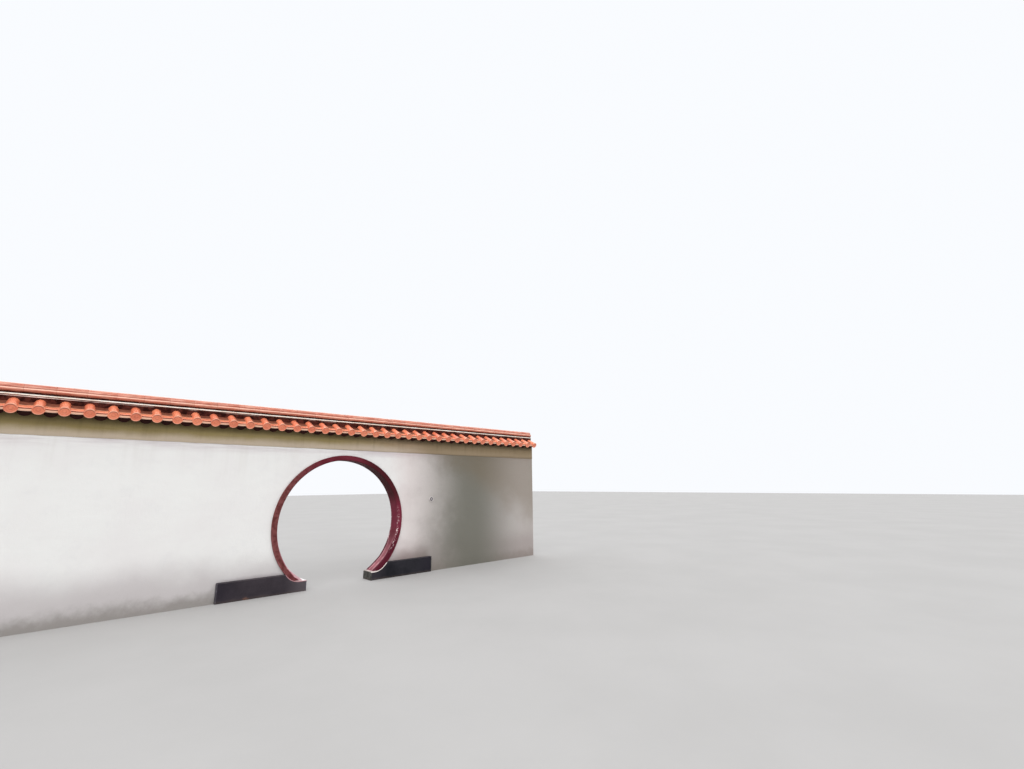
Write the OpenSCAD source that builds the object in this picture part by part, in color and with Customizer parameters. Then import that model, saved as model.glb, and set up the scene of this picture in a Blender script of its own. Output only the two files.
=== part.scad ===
/* [Wall] */
// Length of the wall from end to end
wall_len = 9725; // [6000:5:14000]
// Thickness of the plastered wall
wall_t = 200; // [180:5:400]
// Height of the wall from the ground to the underside of the coping
wall_h = 2600; // [2520:5:3200]
// Height of the plaster frieze under the coping
frieze_h = 270; // [120:5:320]
// How far the frieze stands out from the wall face
frieze_proud = 8; // [3:1:20]
// Clear wall left between the frieze and the ring, where the ring reaches up to it
frieze_clear = 10; // [2:1:40]

/* [Ring] */
// Radius of the clear round opening
ring_r = 1095; // [900:5:1180]
// Height of the ring's centre above the ground
ring_z = 1036; // [960:1:1100]
// Radial width of the ring
ring_band = 88; // [50:1:120]
// How far the ring stands out from each wall face
ring_proud = 30; // [10:1:60]
// Radius of the ring's rounded outer arris
ring_arris = 8; // [2:1:10]

/* [Plinth] */
// Height of the plinth beside the ring
plinth_h = 290; // [180:5:420]
// Height of the low nib that carries the foot of the ring
nib_h = 145; // [80:5:170]
// How far the nib reaches into the opening past the ring's foot
nib_toe = 60; // [10:1:80]
// How far the plinth stands out beyond the ring's face
plinth_lap = 20; // [5:1:60]
// How far the plinth's outer lips lap over the face of the ring
lip_cover = 20; // [5:1:40]
// Radius of the sweep by which a lip runs out along the top of the nib
lip_sweep = 250; // [100:10:300]
// Distance from the middle of the gate to the plinth's outer end
plinth_reach = 1880; // [1400:5:2400]

/* [Wall joints] */
// Margin of wall beside the ring, up to the upright joint
jamb_margin = 25; // [10:1:100]
// Width of the piece of wall over the crown of the ring
crown_w = 1000; // [600:10:1600]

/* [Coping tiles] */
// Slope of the coping in degrees
slope = 27; // [18:1:32]
// Distance from one roll of tiles to the next
tile_pitch = 240; // [200:5:300]
// Outer diameter of a roll tile and of its round end
roll_d = 125; // [90:1:150]
// Wall thickness of the tiles
tile_t = 12; // [8:1:16]
// How far the round ends stand out from the wall face
cap_out = 150; // [100:5:220]
// Height of the round ends' centres above the top of the wall
cap_rise = 35; // [20:1:80]
// Thickness of the round end of a roll tile
cap_t = 18; // [10:1:30]
// Width of the raised rim on a round end
cap_rim = 9; // [5:1:16]
// Depth of the sunk field inside the rim
cap_sink = 4; // [2:1:7]
// Outer radius of the raised ring in the sunk field
cap_ring_r = 39; // [24:1:42]
// Width of the raised ring
cap_ring_w = 8; // [3:1:12]
// Radius of the boss in the middle of a round end
cap_boss_r = 14; // [6:1:20]
// Radius of the hollow of a pan tile
pan_r = 200; // [180:5:320]
// Height of the pan's trough above the centres of the round ends
pan_rise = 12; // [4:1:16]
// Mortar joint between two neighbouring pan tiles
pan_joint = 30; // [10:1:40]
// Thickness of the rim along the front of a pan tile
rim_t = 12; // [6:1:20]
// How far the pan's front rim hangs below the trough
rim_drop = 38; // [15:1:45]
// Distance up the slope at which the upper pans lap over the lower ones
pan_lap = 88; // [40:1:140]
// How much narrower an upper pan is than a lower one on each side
pan_step = 15; // [5:1:30]
// Width of the hanging drip plate under each pan
drip_w = 150; // [90:1:180]
// How far the drip plate hangs below the centres of the round ends
drip_drop = 100; // [60:1:120]
// Thickness of the drip plate
drip_t = 10; // [6:1:16]
// How far the mortar bed stays back from the round ends' centres
bed_back = 50; // [45:1:90]

/* [Ridge] */
// Width of the ridge wall that the tiles run up against
ridge_w = 140; // [100:2:200]
// Height of ridge wall left showing above the rolls
ridge_reveal = 37; // [15:1:80]
// Height of the mortar line on the ridge wall
mortar_h = 16; // [8:1:30]
// How far the mortar line stands out from the ridge wall
mortar_proud = 10; // [3:1:25]
// Height of the recessed neck under the ridge tiles
neck_h = 30; // [15:1:60]
// How far the neck is set back from the ridge wall's face
neck_back = 8; // [2:1:20]
// Height of the lower ridge tiles
course_h = 50; // [30:1:70]
// Width of the lower ridge tiles
course_w = 164; // [150:2:240]
// Radius of the half round ridge cap
ridge_r = 64; // [45:1:75]

/* [Wall fixing] */
// Distance of the fixing from the middle of the gate
fixing_x = 1868; // [1300:2:2400]
// Height of the fixing
fixing_z = 1400; // [600:5:2000]
// Diameter of the fixing's round plate
fixing_d = 96; // [60:1:130]
// Thickness of the plate behind its groove
fixing_t = 4; // [2:1:10]
// Height of the rim and the boss above the plate
fixing_rise = 8; // [3:1:20]
// Width of the plate's rim
fixing_rim = 8; // [3:1:14]
// Diameter of the boss in the middle of the plate
fixing_boss = 36; // [10:1:40]

/* [Hidden] */

$fn = 96;
// Small running gap between curved tiles that only touch
seat = 0.3;
// Rounding that is let go when the rolls on the wall's length are counted
count_slack = 1;

plaster = "#e2dfd9";
stone = "#3d393c";
red_paint = "#6e2d37";
glaze = "#d76e50";
dark_glaze = "#43303a";
mortar_white = "#e8e2da";
grey_metal = "#9a9a98";

// Ring and plinth, seen from the front
ring_out = ring_r + ring_band;
ring_depth = wall_t + 2 * ring_proud;
plinth_t = ring_depth + 2 * plinth_lap;
foot_drop = ring_z - nib_h;
gate_half = sqrt(ring_r * ring_r - foot_drop * foot_drop) - nib_toe;
jamb_x = ring_out + jamb_margin;

// The sweep of a lip touches the top of the nib, and it touches the lip's circle at touch_x, touch_z
lip_r = ring_out - lip_cover;
sweep_z = nib_h + lip_sweep;
sweep_angle = asin((ring_z - sweep_z) / (lip_r - lip_sweep));
sweep_x = (lip_r - lip_sweep) * cos(sweep_angle);
touch_x = lip_r * cos(sweep_angle);
touch_z = ring_z - lip_r * sin(sweep_angle);

// The coping slope passes through the centres of the round ends
cap_y = wall_t / 2 + cap_out;
cap_z = wall_h + cap_rise;
roll_r = roll_d / 2;
// A third of the round end's thickness lies behind its centre, the rest in front
cap_back = cap_t / 3;
cap_front = cap_back - cap_t;
bed_n = pan_rise - tile_t;
bed_y = cap_y - bed_back;
ridge_y = ridge_w / 2;
function slope_z(y, n) = cap_z + (cap_y - y) * tan(slope) + n / cos(slope);
// Length up the slope at which a line at height n meets the ridge wall
function slope_end(n) = (cap_y - ridge_y + n * sin(slope)) / cos(slope);

rolls = floor((wall_len - roll_d + count_slack) / tile_pitch) + 1;
roll_x0 = -(rolls - 1) * tile_pitch / 2;
pan_half = (tile_pitch - pan_joint) / 2;
pan_centre_n = pan_rise + pan_r;
// The upper pans nest in the lower ones, about the same axis
upper_half = pan_half - pan_step;
upper_r = pan_r - seat - tile_t;

ridge_z0 = slope_z(ridge_y, bed_n);
mortar_z0 = slope_z(ridge_y, roll_r) + ridge_reveal;
neck_z0 = mortar_z0 + mortar_h;
course_z0 = neck_z0 + neck_h;
cap_z0 = course_z0 + course_h;

// Extrudes a front view of thickness t, centred on the wall's middle plane
module across(t) {
    rotate([90, 0, 0])
        linear_extrude(t, center = true)
            children();
}

// Extrudes a cross section along the whole wall
module along(length) {
    rotate([90, 0, 90])
        linear_extrude(length, center = true)
            children();
}

// Extrudes a section of the slope from s0 to s1, measured up from the round ends
module up_slope(s0, s1) {
    translate([0, -cap_y, cap_z])
        rotate([90 + slope, 0, 0])
            translate([0, 0, -s1])
                linear_extrude(s1 - s0)
                    children();
}

// Front view of everything above height z
module above(z) {
    translate([-wall_len, z])
        square([2 * wall_len, wall_h]);
}

// Front view of the whole ring, with more or less than its own radius
module ring_disc(margin = 0) {
    translate([0, ring_z])
        circle(r = ring_out + margin, $fn = 180);
}

// Masonry between x0 and x1 and between z0 and z1, cut round the ring
module wall_panel(x0, x1, z0, z1) {
    color(plaster)
        across(wall_t)
            difference() {
                translate([x0, z0])
                    square([x1 - x0, z1 - z0]);
                ring_disc();
            }
}

// Front view of the plinth with its low nib, less the seat that it leaves for the ring
module plinth_outline() {
    difference() {
        translate([gate_half, 0])
            square([plinth_reach - gate_half, plinth_h]);
        children();
    }
}

// Front view of the ring's seat on the nib, with more or less than the ring's own radius
module ring_seat(margin = 0) {
    intersection() {
        ring_disc(margin);
        above(nib_h);
    }
}

// Front view of the stone in the corner of a lip, outside the sweep
module sweep_corner() {
    difference() {
        translate([sweep_x, nib_h])
            square([touch_x - sweep_x, touch_z - nib_h]);
        translate([sweep_x, sweep_z])
            circle(r = lip_sweep, $fn = 180);
    }
}

// Stone plinth, its body coped to the outside of the ring and its lips over the ring's face
module plinth(side) {
    color(stone)
        mirror([side < 0 ? 1 : 0, 0, 0]) {
            across(ring_depth)
                plinth_outline()
                    ring_seat();
            for (face = [-1, 1])
                translate([0, face * (ring_depth + plinth_lap) / 2, 0])
                    across(plinth_lap)
                        plinth_outline()
                            difference() {
                                ring_seat(-lip_cover);
                                sweep_corner();
                            }
        }
}

module plinth_left() plinth(-1);
module plinth_right() plinth(1);

module wall_left_run() wall_panel(-wall_len / 2, -plinth_reach, 0, wall_h);
module wall_left_pier() wall_panel(-plinth_reach, -jamb_x, plinth_h, wall_h);
module wall_left_springing() wall_panel(-jamb_x, 0, plinth_h, ring_z);
module wall_left_haunch() wall_panel(-jamb_x, -crown_w / 2, ring_z, wall_h);
module wall_crown() wall_panel(-crown_w / 2, crown_w / 2, ring_z, wall_h);
module wall_right_haunch() wall_panel(crown_w / 2, jamb_x, ring_z, wall_h);
module wall_right_springing() wall_panel(0, jamb_x, plinth_h, ring_z);
module wall_right_pier() wall_panel(jamb_x, plinth_reach, plinth_h, wall_h);
module wall_right_run() wall_panel(plinth_reach, wall_len / 2, 0, wall_h);

// The ring's body, through the thickness of the wall
module ring_lining() {
    color(red_paint)
        across(wall_t)
            intersection() {
                difference() {
                    ring_disc();
                    ring_disc(-ring_band);
                }
                above(nib_h);
            }
}

// Section of the band that stands proud of the wall, with a rounded outer arris
module band_section() {
    union() {
        translate([ring_r, 0])
            square([ring_band - ring_arris, ring_proud]);
        translate([ring_r, 0])
            square([ring_band, ring_proud - ring_arris]);
        translate([ring_out - ring_arris, ring_proud - ring_arris])
            circle(r = ring_arris, $fn = 32);
    }
}

module ring_band_front() {
    color(red_paint)
        intersection() {
            translate([0, -wall_t / 2, ring_z])
                rotate([90, 0, 0])
                    rotate_extrude($fn = 180)
                        band_section();
            translate([-2 * ring_out, -ring_depth, nib_h])
                cube([4 * ring_out, 2 * ring_depth, ring_z + ring_out]);
        }
}

module ring_band_back() {
    mirror([0, 1, 0])
        ring_band_front();
}

module frieze(side) {
    color(plaster)
        translate([0, side * (wall_t + frieze_proud) / 2, 0])
            across(frieze_proud)
                difference() {
                    translate([-wall_len / 2, wall_h - frieze_h])
                        square([wall_len, frieze_h]);
                    ring_disc(frieze_clear);
                }
}

module frieze_front() frieze(-1);
module frieze_back() frieze(1);

// Bedding mortar and brick under the tiles, with a flat soffit over the wall
module coping_bed() {
    color(dark_glaze)
        along(wall_len)
            polygon([[-bed_y, wall_h], [bed_y, wall_h],
                     [bed_y, slope_z(bed_y, bed_n)], [ridge_y, ridge_z0],
                     [-ridge_y, ridge_z0], [-bed_y, slope_z(bed_y, bed_n)]]);
}

// Everything on the ridge side of the ridge wall's face is cut away
module clear_of_ridge() {
    difference() {
        children();
        translate([-wall_len, -ridge_y - seat, wall_h])
            cube([2 * wall_len, wall_t + 2 * cap_out, wall_h]);
    }
}

// Section of one pan tile of thickness t, its trough of radius r facing up
module pan_section(r, half_width, t) {
    translate([0, pan_centre_n])
        intersection() {
            difference() {
                circle(r = r + t, $fn = 180);
                circle(r = r, $fn = 180);
            }
            translate([-half_width, -r - t])
                square([2 * half_width, r]);
        }
}

// Lower pan tile with the thicker rim along its front edge
module lower_pan() {
    up_slope(rim_t / 2, slope_end(roll_r))
        pan_section(pan_r, pan_half, tile_t);
    up_slope(rim_t / 2, rim_t * 3 / 2)
        pan_section(pan_r, pan_half, rim_drop);
}

// Upper pan tile, which runs on up to the ridge wall
module upper_pan() {
    up_slope(pan_lap, slope_end(roll_r))
        pan_section(upper_r, upper_half, tile_t);
}

module pan_tiles_front() {
    color(glaze)
        clear_of_ridge()
            for (i = [0 : rolls - 2])
                translate([roll_x0 + (i + 0.5) * tile_pitch, 0, 0]) {
                    lower_pan();
                    upper_pan();
                }
}

module pan_tiles_back() {
    mirror([0, 1, 0])
        pan_tiles_front();
}

// Hanging plate with a rounded foot, behind the rim of each pan
module drip_plate() {
    up_slope(rim_t * 3 / 2, rim_t * 3 / 2 + drip_t)
        intersection() {
            translate([-drip_w / 2, -drip_drop])
                square([drip_w, drip_drop + bed_n - seat]);
            translate([0, drip_w / 2 - drip_drop])
                union() {
                    circle(r = drip_w / 2);
                    translate([-drip_w / 2, 0])
                        square([drip_w, drip_drop]);
                }
        }
}

module drip_tiles_front() {
    color(dark_glaze)
        for (i = [0 : rolls - 2])
            translate([roll_x0 + (i + 0.5) * tile_pitch, 0, 0])
                drip_plate();
}

module drip_tiles_back() {
    mirror([0, 1, 0])
        drip_tiles_front();
}

// Ground that the two neighbouring pans of one course take up under a roll
module pan_ground(r, half_width) {
    for (side = [-1, 1])
        translate([side * tile_pitch / 2, pan_centre_n])
            difference() {
                translate([-half_width - seat, -r - roll_d])
                    square([2 * half_width + 2 * seat, r + roll_d]);
                circle(r = r - seat, $fn = 180);
            }
}

// Cover tile of the roll, seated on the edges of the lower pans
module roll_section() {
    difference() {
        circle(r = roll_r);
        circle(r = roll_r - tile_t);
        translate([-roll_d, -roll_d])
            square([2 * roll_d, roll_d]);
        pan_ground(pan_r, pan_half);
    }
}

// Round end with a raised rim, a ring and a boss
module roll_end() {
    up_slope(cap_front + cap_sink, cap_back)
        circle(r = roll_r);
    up_slope(cap_front, cap_front + cap_sink) {
        difference() {
            circle(r = roll_r);
            circle(r = roll_r - cap_rim);
        }
        difference() {
            circle(r = cap_ring_r);
            circle(r = cap_ring_r - cap_ring_w);
        }
        circle(r = cap_boss_r);
    }
}

// Cover tile that steps up on to the upper pans where they begin
module roll_tile() {
    up_slope(cap_back, pan_lap - seat)
        roll_section();
    up_slope(pan_lap - seat, slope_end(roll_r))
        difference() {
            roll_section();
            pan_ground(upper_r, upper_half);
        }
    roll_end();
}

module roll_tiles_front() {
    color(glaze)
        clear_of_ridge()
            for (i = [0 : rolls - 1])
                translate([roll_x0 + i * tile_pitch, 0, 0])
                    roll_tile();
}

module roll_tiles_back() {
    mirror([0, 1, 0])
        roll_tiles_front();
}

module ridge_wall() {
    color(dark_glaze)
        along(wall_len)
            translate([-ridge_y, ridge_z0])
                square([ridge_w, mortar_z0 - ridge_z0]);
}

// Bead of pale mortar with rounded edges
module ridge_mortar() {
    color(mortar_white)
        along(wall_len)
            translate([0, mortar_z0 + mortar_h / 2])
                union() {
                    square([ridge_w + 2 * mortar_proud - mortar_h, mortar_h], center = true);
                    for (side = [-1, 1])
                        translate([side * (ridge_y + mortar_proud - mortar_h / 2), 0])
                            circle(d = mortar_h, $fn = 32);
                }
}

module ridge_neck() {
    color(dark_glaze)
        along(wall_len)
            translate([neck_back - ridge_y, neck_z0])
                square([ridge_w - 2 * neck_back, neck_h]);
}

// Lower ridge tiles, round nosed on both sides
module ridge_course() {
    color(glaze)
        along(wall_len)
            translate([0, course_z0 + course_h / 2])
                union() {
                    square([course_w - course_h, course_h], center = true);
                    for (side = [-1, 1])
                        translate([side * (course_w - course_h) / 2, 0])
                            circle(d = course_h, $fn = 48);
                }
}

module ridge_cap() {
    color(glaze)
        along(wall_len)
            intersection() {
                translate([0, cap_z0])
                    circle(r = ridge_r);
                translate([-ridge_r, cap_z0])
                    square([2 * ridge_r, ridge_r]);
            }
}

// Small round plate with a raised rim and a boss, fixed to the front of the wall
module wall_fixing() {
    color(grey_metal)
        translate([fixing_x, -wall_t / 2, fixing_z])
            rotate([90, 0, 0]) {
                linear_extrude(fixing_t + fixing_rise)
                    difference() {
                        circle(d = fixing_d);
                        circle(d = fixing_d - 2 * fixing_rim);
                    }
                linear_extrude(fixing_t + fixing_rise)
                    circle(d = fixing_boss);
                linear_extrude(fixing_t)
                    circle(d = fixing_d);
            }
}

plinth_left();
plinth_right();
wall_left_run();
wall_left_pier();
wall_left_springing();
wall_left_haunch();
wall_crown();
wall_right_haunch();
wall_right_springing();
wall_right_pier();
wall_right_run();
ring_lining();
ring_band_front();
ring_band_back();
frieze_front();
frieze_back();
coping_bed();
pan_tiles_front();
pan_tiles_back();
drip_tiles_front();
drip_tiles_back();
roll_tiles_front();
roll_tiles_back();
ridge_wall();
ridge_mortar();
ridge_neck();
ridge_course();
ridge_cap();
wall_fixing();
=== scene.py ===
import math
import random

import bmesh
import bpy
from mathutils import Matrix, Vector


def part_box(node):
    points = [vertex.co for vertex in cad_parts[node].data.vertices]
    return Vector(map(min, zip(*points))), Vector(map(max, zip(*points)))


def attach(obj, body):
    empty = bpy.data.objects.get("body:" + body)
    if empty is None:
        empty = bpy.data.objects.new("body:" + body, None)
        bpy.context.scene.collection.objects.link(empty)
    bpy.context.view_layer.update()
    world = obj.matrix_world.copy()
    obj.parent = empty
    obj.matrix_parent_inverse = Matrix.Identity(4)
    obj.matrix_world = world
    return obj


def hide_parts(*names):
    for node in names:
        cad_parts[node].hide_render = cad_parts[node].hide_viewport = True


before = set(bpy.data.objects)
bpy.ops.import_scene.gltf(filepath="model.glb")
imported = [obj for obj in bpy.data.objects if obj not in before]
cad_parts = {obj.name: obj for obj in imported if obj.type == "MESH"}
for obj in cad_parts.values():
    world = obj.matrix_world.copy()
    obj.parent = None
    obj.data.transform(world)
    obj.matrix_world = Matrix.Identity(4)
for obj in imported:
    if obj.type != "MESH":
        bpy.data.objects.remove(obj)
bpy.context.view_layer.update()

# Sizes read from the frame, in metres
lining_low, lining_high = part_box("ring_lining")
plinth_low, plinth_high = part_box("plinth_right")
bed_low, bed_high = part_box("coping_bed")
ridge_low, ridge_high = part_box("ridge_wall")
mortar_low, mortar_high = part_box("ridge_mortar")
neck_low, neck_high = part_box("ridge_neck")
course_low, course_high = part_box("ridge_course")
cap_low, cap_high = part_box("ridge_cap")
fixing_low, fixing_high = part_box("wall_fixing")
frieze_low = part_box("frieze_front")[0]

WALL_END, WALL_FACE, WALL_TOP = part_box("wall_right_run")[1]
PLINTH_END, PLINTH_FACE, PLINTH_TOP = plinth_high
GATE_HALF = plinth_low.x
RING_OUT = lining_high.x
RING_Z = lining_high.z - RING_OUT
RING_FACE = -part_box("ring_band_front")[0].y
NIB_TOP = lining_low.z
FRIEZE_FOOT = frieze_low.z
FRIEZE_FACE = -frieze_low.y
RIDGE_FACE = ridge_high.y
FIXING_MIDDLE = (fixing_low + fixing_high) / 2

# Sizes of the wall, the ring and the plinths that the boxes don't give, in metres
RING_BAND = 0.088
RING_IN = RING_OUT - RING_BAND
OUTER_ARRIS = 0.008
INNER_ARRIS = 0.006
SWELL_TOP = 0.42
SWELL_HEIGHT = 0.26
FOOT_SWELLS = {"left": 0.040, "right": 0.030}
LONGER_NIBS = {"left": 0.008, "right": 0.0}
PLASTER_LAP = 0.006
WALL_IN_PLINTH = 0.010
FRIEZE_DROP = 0.010
FRIEZE_TILT = math.radians(0.19)

# The edge of a plinth's lip: a circle beside the ring, then a sweep that runs out along the nib
SWEEP_R = 0.250


def lip_shape(cover, nib_top):
    """The lip's circle, the middle of its sweep, and the height at which the two meet."""
    radius = RING_OUT - cover
    rise = RING_Z - nib_top - SWEEP_R
    angle = math.asin(rise / (radius - SWEEP_R))
    return {"radius": radius, "nib_top": nib_top, "sweep_x": (radius - SWEEP_R) * math.cos(angle),
            "sweep_z": nib_top + SWEEP_R, "touch_z": RING_Z - radius * math.sin(angle)}


LIPS = {"left": lip_shape(0.006, NIB_TOP + 0.018), "right": lip_shape(0.020, NIB_TOP)}

# The slope of tiles: X runs along the wall, Y up the slope and Z off the slope
SLOPE = math.radians(25)
CAP_Y = WALL_FACE + 0.150
CAP_Z = WALL_TOP + 0.035
SLOPE_LEN = (CAP_Y - RIDGE_FACE) / math.cos(SLOPE)
TILE_PITCH = 0.240
TILE_T = 0.012
TILE_SHIFT = 0.002
ROLLS = 41
PANS = ROLLS - 1

# A roll, and the rings that its round end is carved into
ROLL_R = 0.061
ROLL_END_R = 0.0625
END_RIM_R = 0.054
END_FIELD_R = 0.043
END_BOSS_R = 0.029
END_NAVEL_R = 0.016
END_FLOOR_Y = -0.0085

# A pan, and the thick rim at its front
PAN_R = 0.450
PAN_RISE = 0.012
PAN_HALF = 0.105
RIM_FRONT = 0.006
RIM_BACK = 0.022
RIM_HANG = 0.032

# The ridge, whose parts sit a little lower than their solids
RIDGE_TILES = 32
RIDGE_SINK = 0.008
MORTAR_SINK = 0.010

# The signs of X at the left and right, and of Y at the front and back
SIDES = {"left": -1, "right": 1}
FACES = {"front": -1, "back": 1}

# Half the depth of a cut right through, how close points merge, and the slack in picking them by place
THROUGH = 0.5
MERGE_WITHIN = 0.00005
NEAR = 0.001


# Working with one piece at a time

def clear_bench():
    bpy.ops.object.select_all(action="DESELECT")


def hold(piece):
    clear_bench()
    piece.select_set(True)
    bpy.context.view_layer.objects.active = piece


def settle(piece):
    """Puts the piece's place and size into its mesh."""
    hold(piece)
    bpy.ops.object.transform_apply(location=True, rotation=True, scale=True)


def name_piece(name):
    piece = bpy.context.active_object
    piece.name = name
    piece.data.name = name
    return piece


def edit(piece):
    hold(piece)
    bpy.ops.object.mode_set(mode="EDIT")


def leave_edit():
    bpy.ops.object.mode_set(mode="OBJECT")


def middle(edge):
    first, second = (vertex.co for vertex in edge.verts)
    return (first + second) / 2


def reach(edge):
    """How far an edge runs along X, Y and Z."""
    first, second = (vertex.co for vertex in edge.verts)
    return Vector([abs(length) for length in first - second])


def along_x(edge):
    return max(reach(edge).yz) < 1e-5


def pick(kind, test):
    """Selects the vertices, edges or faces of the piece in edit mode that pass the test."""
    bpy.ops.mesh.select_mode(type=kind)
    bpy.ops.mesh.select_all(action="DESELECT")
    data = bpy.context.edit_object.data
    mesh = bmesh.from_edit_mesh(data)
    items = {"VERT": mesh.verts, "EDGE": mesh.edges, "FACE": mesh.faces}[kind]
    for item in items:
        if test(item):
            item.select_set(True)
    bmesh.update_edit_mesh(data)


def pick_all():
    bpy.ops.mesh.select_all(action="SELECT")


def extrude(move):
    bpy.ops.mesh.extrude_region_move(TRANSFORM_OT_translate={"value": move})


def divide(test, cuts):
    """Cuts the edges that pass the test into equal lengths."""
    pick("EDGE", test)
    bpy.ops.mesh.subdivide(number_cuts=cuts)


def round_corners(test, width, segments):
    """Rounds those corners of a flat section that pass the test."""
    pick("VERT", test)
    bpy.ops.mesh.bevel(offset=width, segments=segments, affect="VERTICES")


def round_long_edges(width, segments):
    pick("EDGE", along_x)
    bpy.ops.mesh.bevel(offset=width, segments=segments, affect="EDGES")


def cut_flat(point, normal, fill=True):
    """Bisects all of the piece in edit mode and clears what lies behind the plane."""
    pick_all()
    bpy.ops.mesh.bisect(plane_co=point, plane_no=normal, use_fill=fill, clear_inner=True)


def merge_doubles():
    pick_all()
    bpy.ops.mesh.remove_doubles(threshold=MERGE_WITHIN)


def turn_outwards():
    pick_all()
    bpy.ops.mesh.normals_make_consistent(inside=False)


def make_sound(piece):
    """Merges doubles and turns every face outwards."""
    edit(piece)
    merge_doubles()
    turn_outwards()
    leave_edit()


def carve_front(piece, rings):
    """Insets the face at the front, ring within ring. Each has a width and a height."""
    edit(piece)
    pick("FACE", lambda face: face.normal.y < -0.9)
    for width, height in rings:
        bpy.ops.mesh.inset(thickness=width, depth=height)
    leave_edit()


def start_piece(name, add, scale=(1, 1, 1), **settings):
    """Adds a primitive, and puts its place and size into its mesh."""
    clear_bench()
    add(**settings)
    piece = name_piece(name)
    piece.scale = scale
    settle(piece)
    return piece


def add_sheet(name, centre, width, depth, turn=0.0):
    """A flat sheet with a width along X and a depth along Y, which may be turned about Y."""
    return start_piece(name, bpy.ops.mesh.primitive_plane_add, (width, depth, 1), size=1, location=centre,
                       rotation=(0, turn, 0))


def add_block(name, corner, opposite):
    """A box between two opposite corners, ready to be shaped."""
    corner, opposite = Vector(corner), Vector(opposite)
    lengths = [abs(length) for length in opposite - corner]
    return start_piece(name, bpy.ops.mesh.primitive_cube_add, lengths, size=1,
                       location=(corner + opposite) / 2)


def add_drum(name, radius, low_y, high_y, x=0.0, z=0.0, sides=32, ends="NGON"):
    """A cylinder that lies along Y."""
    return start_piece(name, bpy.ops.mesh.primitive_cylinder_add, vertices=sides, radius=radius,
                       depth=high_y - low_y, end_fill_type=ends, location=(x, (low_y + high_y) / 2, z),
                       rotation=(math.pi / 2, 0, 0))


def use_modifier(piece, kind, **settings):
    hold(piece)
    modifier = piece.modifiers.new(kind.lower(), kind)
    for key, value in settings.items():
        setattr(modifier, key, value)
    bpy.ops.object.modifier_apply(modifier=modifier.name)


def cut_away(piece, cutter):
    use_modifier(piece, "BOOLEAN", operation="DIFFERENCE", solver="EXACT", object=cutter)
    bpy.data.objects.remove(cutter)


def ease_edges(piece, width, degrees=60):
    """Takes the sharpness off every edge that turns by more than the angle."""
    use_modifier(piece, "BEVEL", width=width, segments=2, limit_method="ANGLE",
                 angle_limit=math.radians(degrees))


def hand_finish(piece, lump_size, height, direction="NORMAL", group="", mid_level=0.5, contrast=1.0,
                brightness=1.0):
    """Pushes the surface in and out by soft lumps, as handwork leaves it."""
    lumps = bpy.data.textures.new("lumps", "CLOUDS")
    lumps.noise_scale = lump_size
    lumps.contrast = contrast
    lumps.intensity = brightness
    use_modifier(piece, "DISPLACE", texture=lumps, texture_coords="LOCAL", direction=direction,
                 strength=height, mid_level=mid_level, vertex_group=group)


def mark(piece, label, share):
    """Writes a value at every point of a piece, which its finish reads."""
    layer = piece.data.attributes.new(label, "FLOAT", "POINT")
    layer.data.foreach_set("value", [float(share(vertex.co)) for vertex in piece.data.vertices])


def weigh(piece, label, share):
    """Groups the points whose share is above nought, for a modifier."""
    group = piece.vertex_groups.new(name=label)
    for vertex in piece.data.vertices:
        weight = float(share(vertex.co))
        if weight > 0:
            group.add([vertex.index], weight, "REPLACE")


def turned(centre, angle, axis):
    """The matrix that turns a piece about an axis through a point."""
    centre = Vector(centre)
    return Matrix.Translation(centre) @ Matrix.Rotation(angle, 4, axis) @ Matrix.Translation(-centre)


# The shader node tools

def screen_colour(red, green, blue):
    """A colour given in screen values from 0 to 255, as the shaders need it."""
    def channel(value):
        value = value / 255
        return value / 12.92 if value <= 0.04045 else ((value + 0.055) / 1.055) ** 2.4
    return channel(red), channel(green), channel(blue), 1.0


class Reading:
    """A value that changes over a surface. Sums with it add the nodes that work them out."""

    def __init__(self, socket):
        self.socket = socket
        self.tree = socket.id_data

    def maths(self, operation, first, second=0.0):
        return add_node(self.tree, "ShaderNodeMath", 0, {0: first, 1: second}, operation=operation)

    def __add__(self, other):
        return self.maths("ADD", self, other)

    def __sub__(self, other):
        return self.maths("SUBTRACT", self, other)

    def __rsub__(self, other):
        return self.maths("SUBTRACT", other, self)

    def __mul__(self, other):
        return self.maths("MULTIPLY", self, other)

    def __truediv__(self, other):
        return self.maths("DIVIDE", self, other)

    def __gt__(self, other):
        return self.maths("GREATER_THAN", self, other)

    def __abs__(self):
        return self.maths("ABSOLUTE", self)

    def larger(self, other):
        return self.maths("MAXIMUM", self, other)

    def spread(self, low, high):
        """Maps low to 0 and high to 1, smoothly and clamped."""
        inputs = {"Value": self, "From Min": low, "From Max": high}
        return add_node(self.tree, "ShaderNodeMapRange", "Result", inputs, interpolation_type="SMOOTHSTEP")

    def fade(self, low, high):
        """One at the low end, falling smoothly to nought at the high end."""
        return 1.0 - self.spread(low, high)

    def choose(self, no, yes):
        """The first value where this is nought, the second where it is one."""
        return add_node(self.tree, "ShaderNodeMix", 0, {0: self, 2: no, 3: yes}, data_type="FLOAT")


def feed(node, inputs):
    """Sets inputs of a node, each to a plain value or to the reading that feeds it."""
    for key, value in inputs.items():
        if isinstance(value, Reading):
            value.tree.links.new(value.socket, node.inputs[key])
        else:
            node.inputs[key].default_value = value


def add_node(tree, kind, output, inputs, **settings):
    """Adds a node, and gives back the reading at one of its outputs."""
    node = tree.nodes.new(kind)
    for key, value in settings.items():
        setattr(node, key, value)
    feed(node, inputs)
    return Reading(node.outputs[output])


def blend(mask, first, second):
    """The first colour where the mask is nought, the second where it is one."""
    inputs = {0: mask}
    for key, colour in ((6, first), (7, second)):
        inputs[key] = colour if isinstance(colour, Reading) else screen_colour(*colour)
    return add_node(mask.tree, "ShaderNodeMix", 2, inputs, data_type="RGBA")


def distance(first, second):
    squares = first * first + second * second
    return squares.maths("SQRT", squares)


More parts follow.
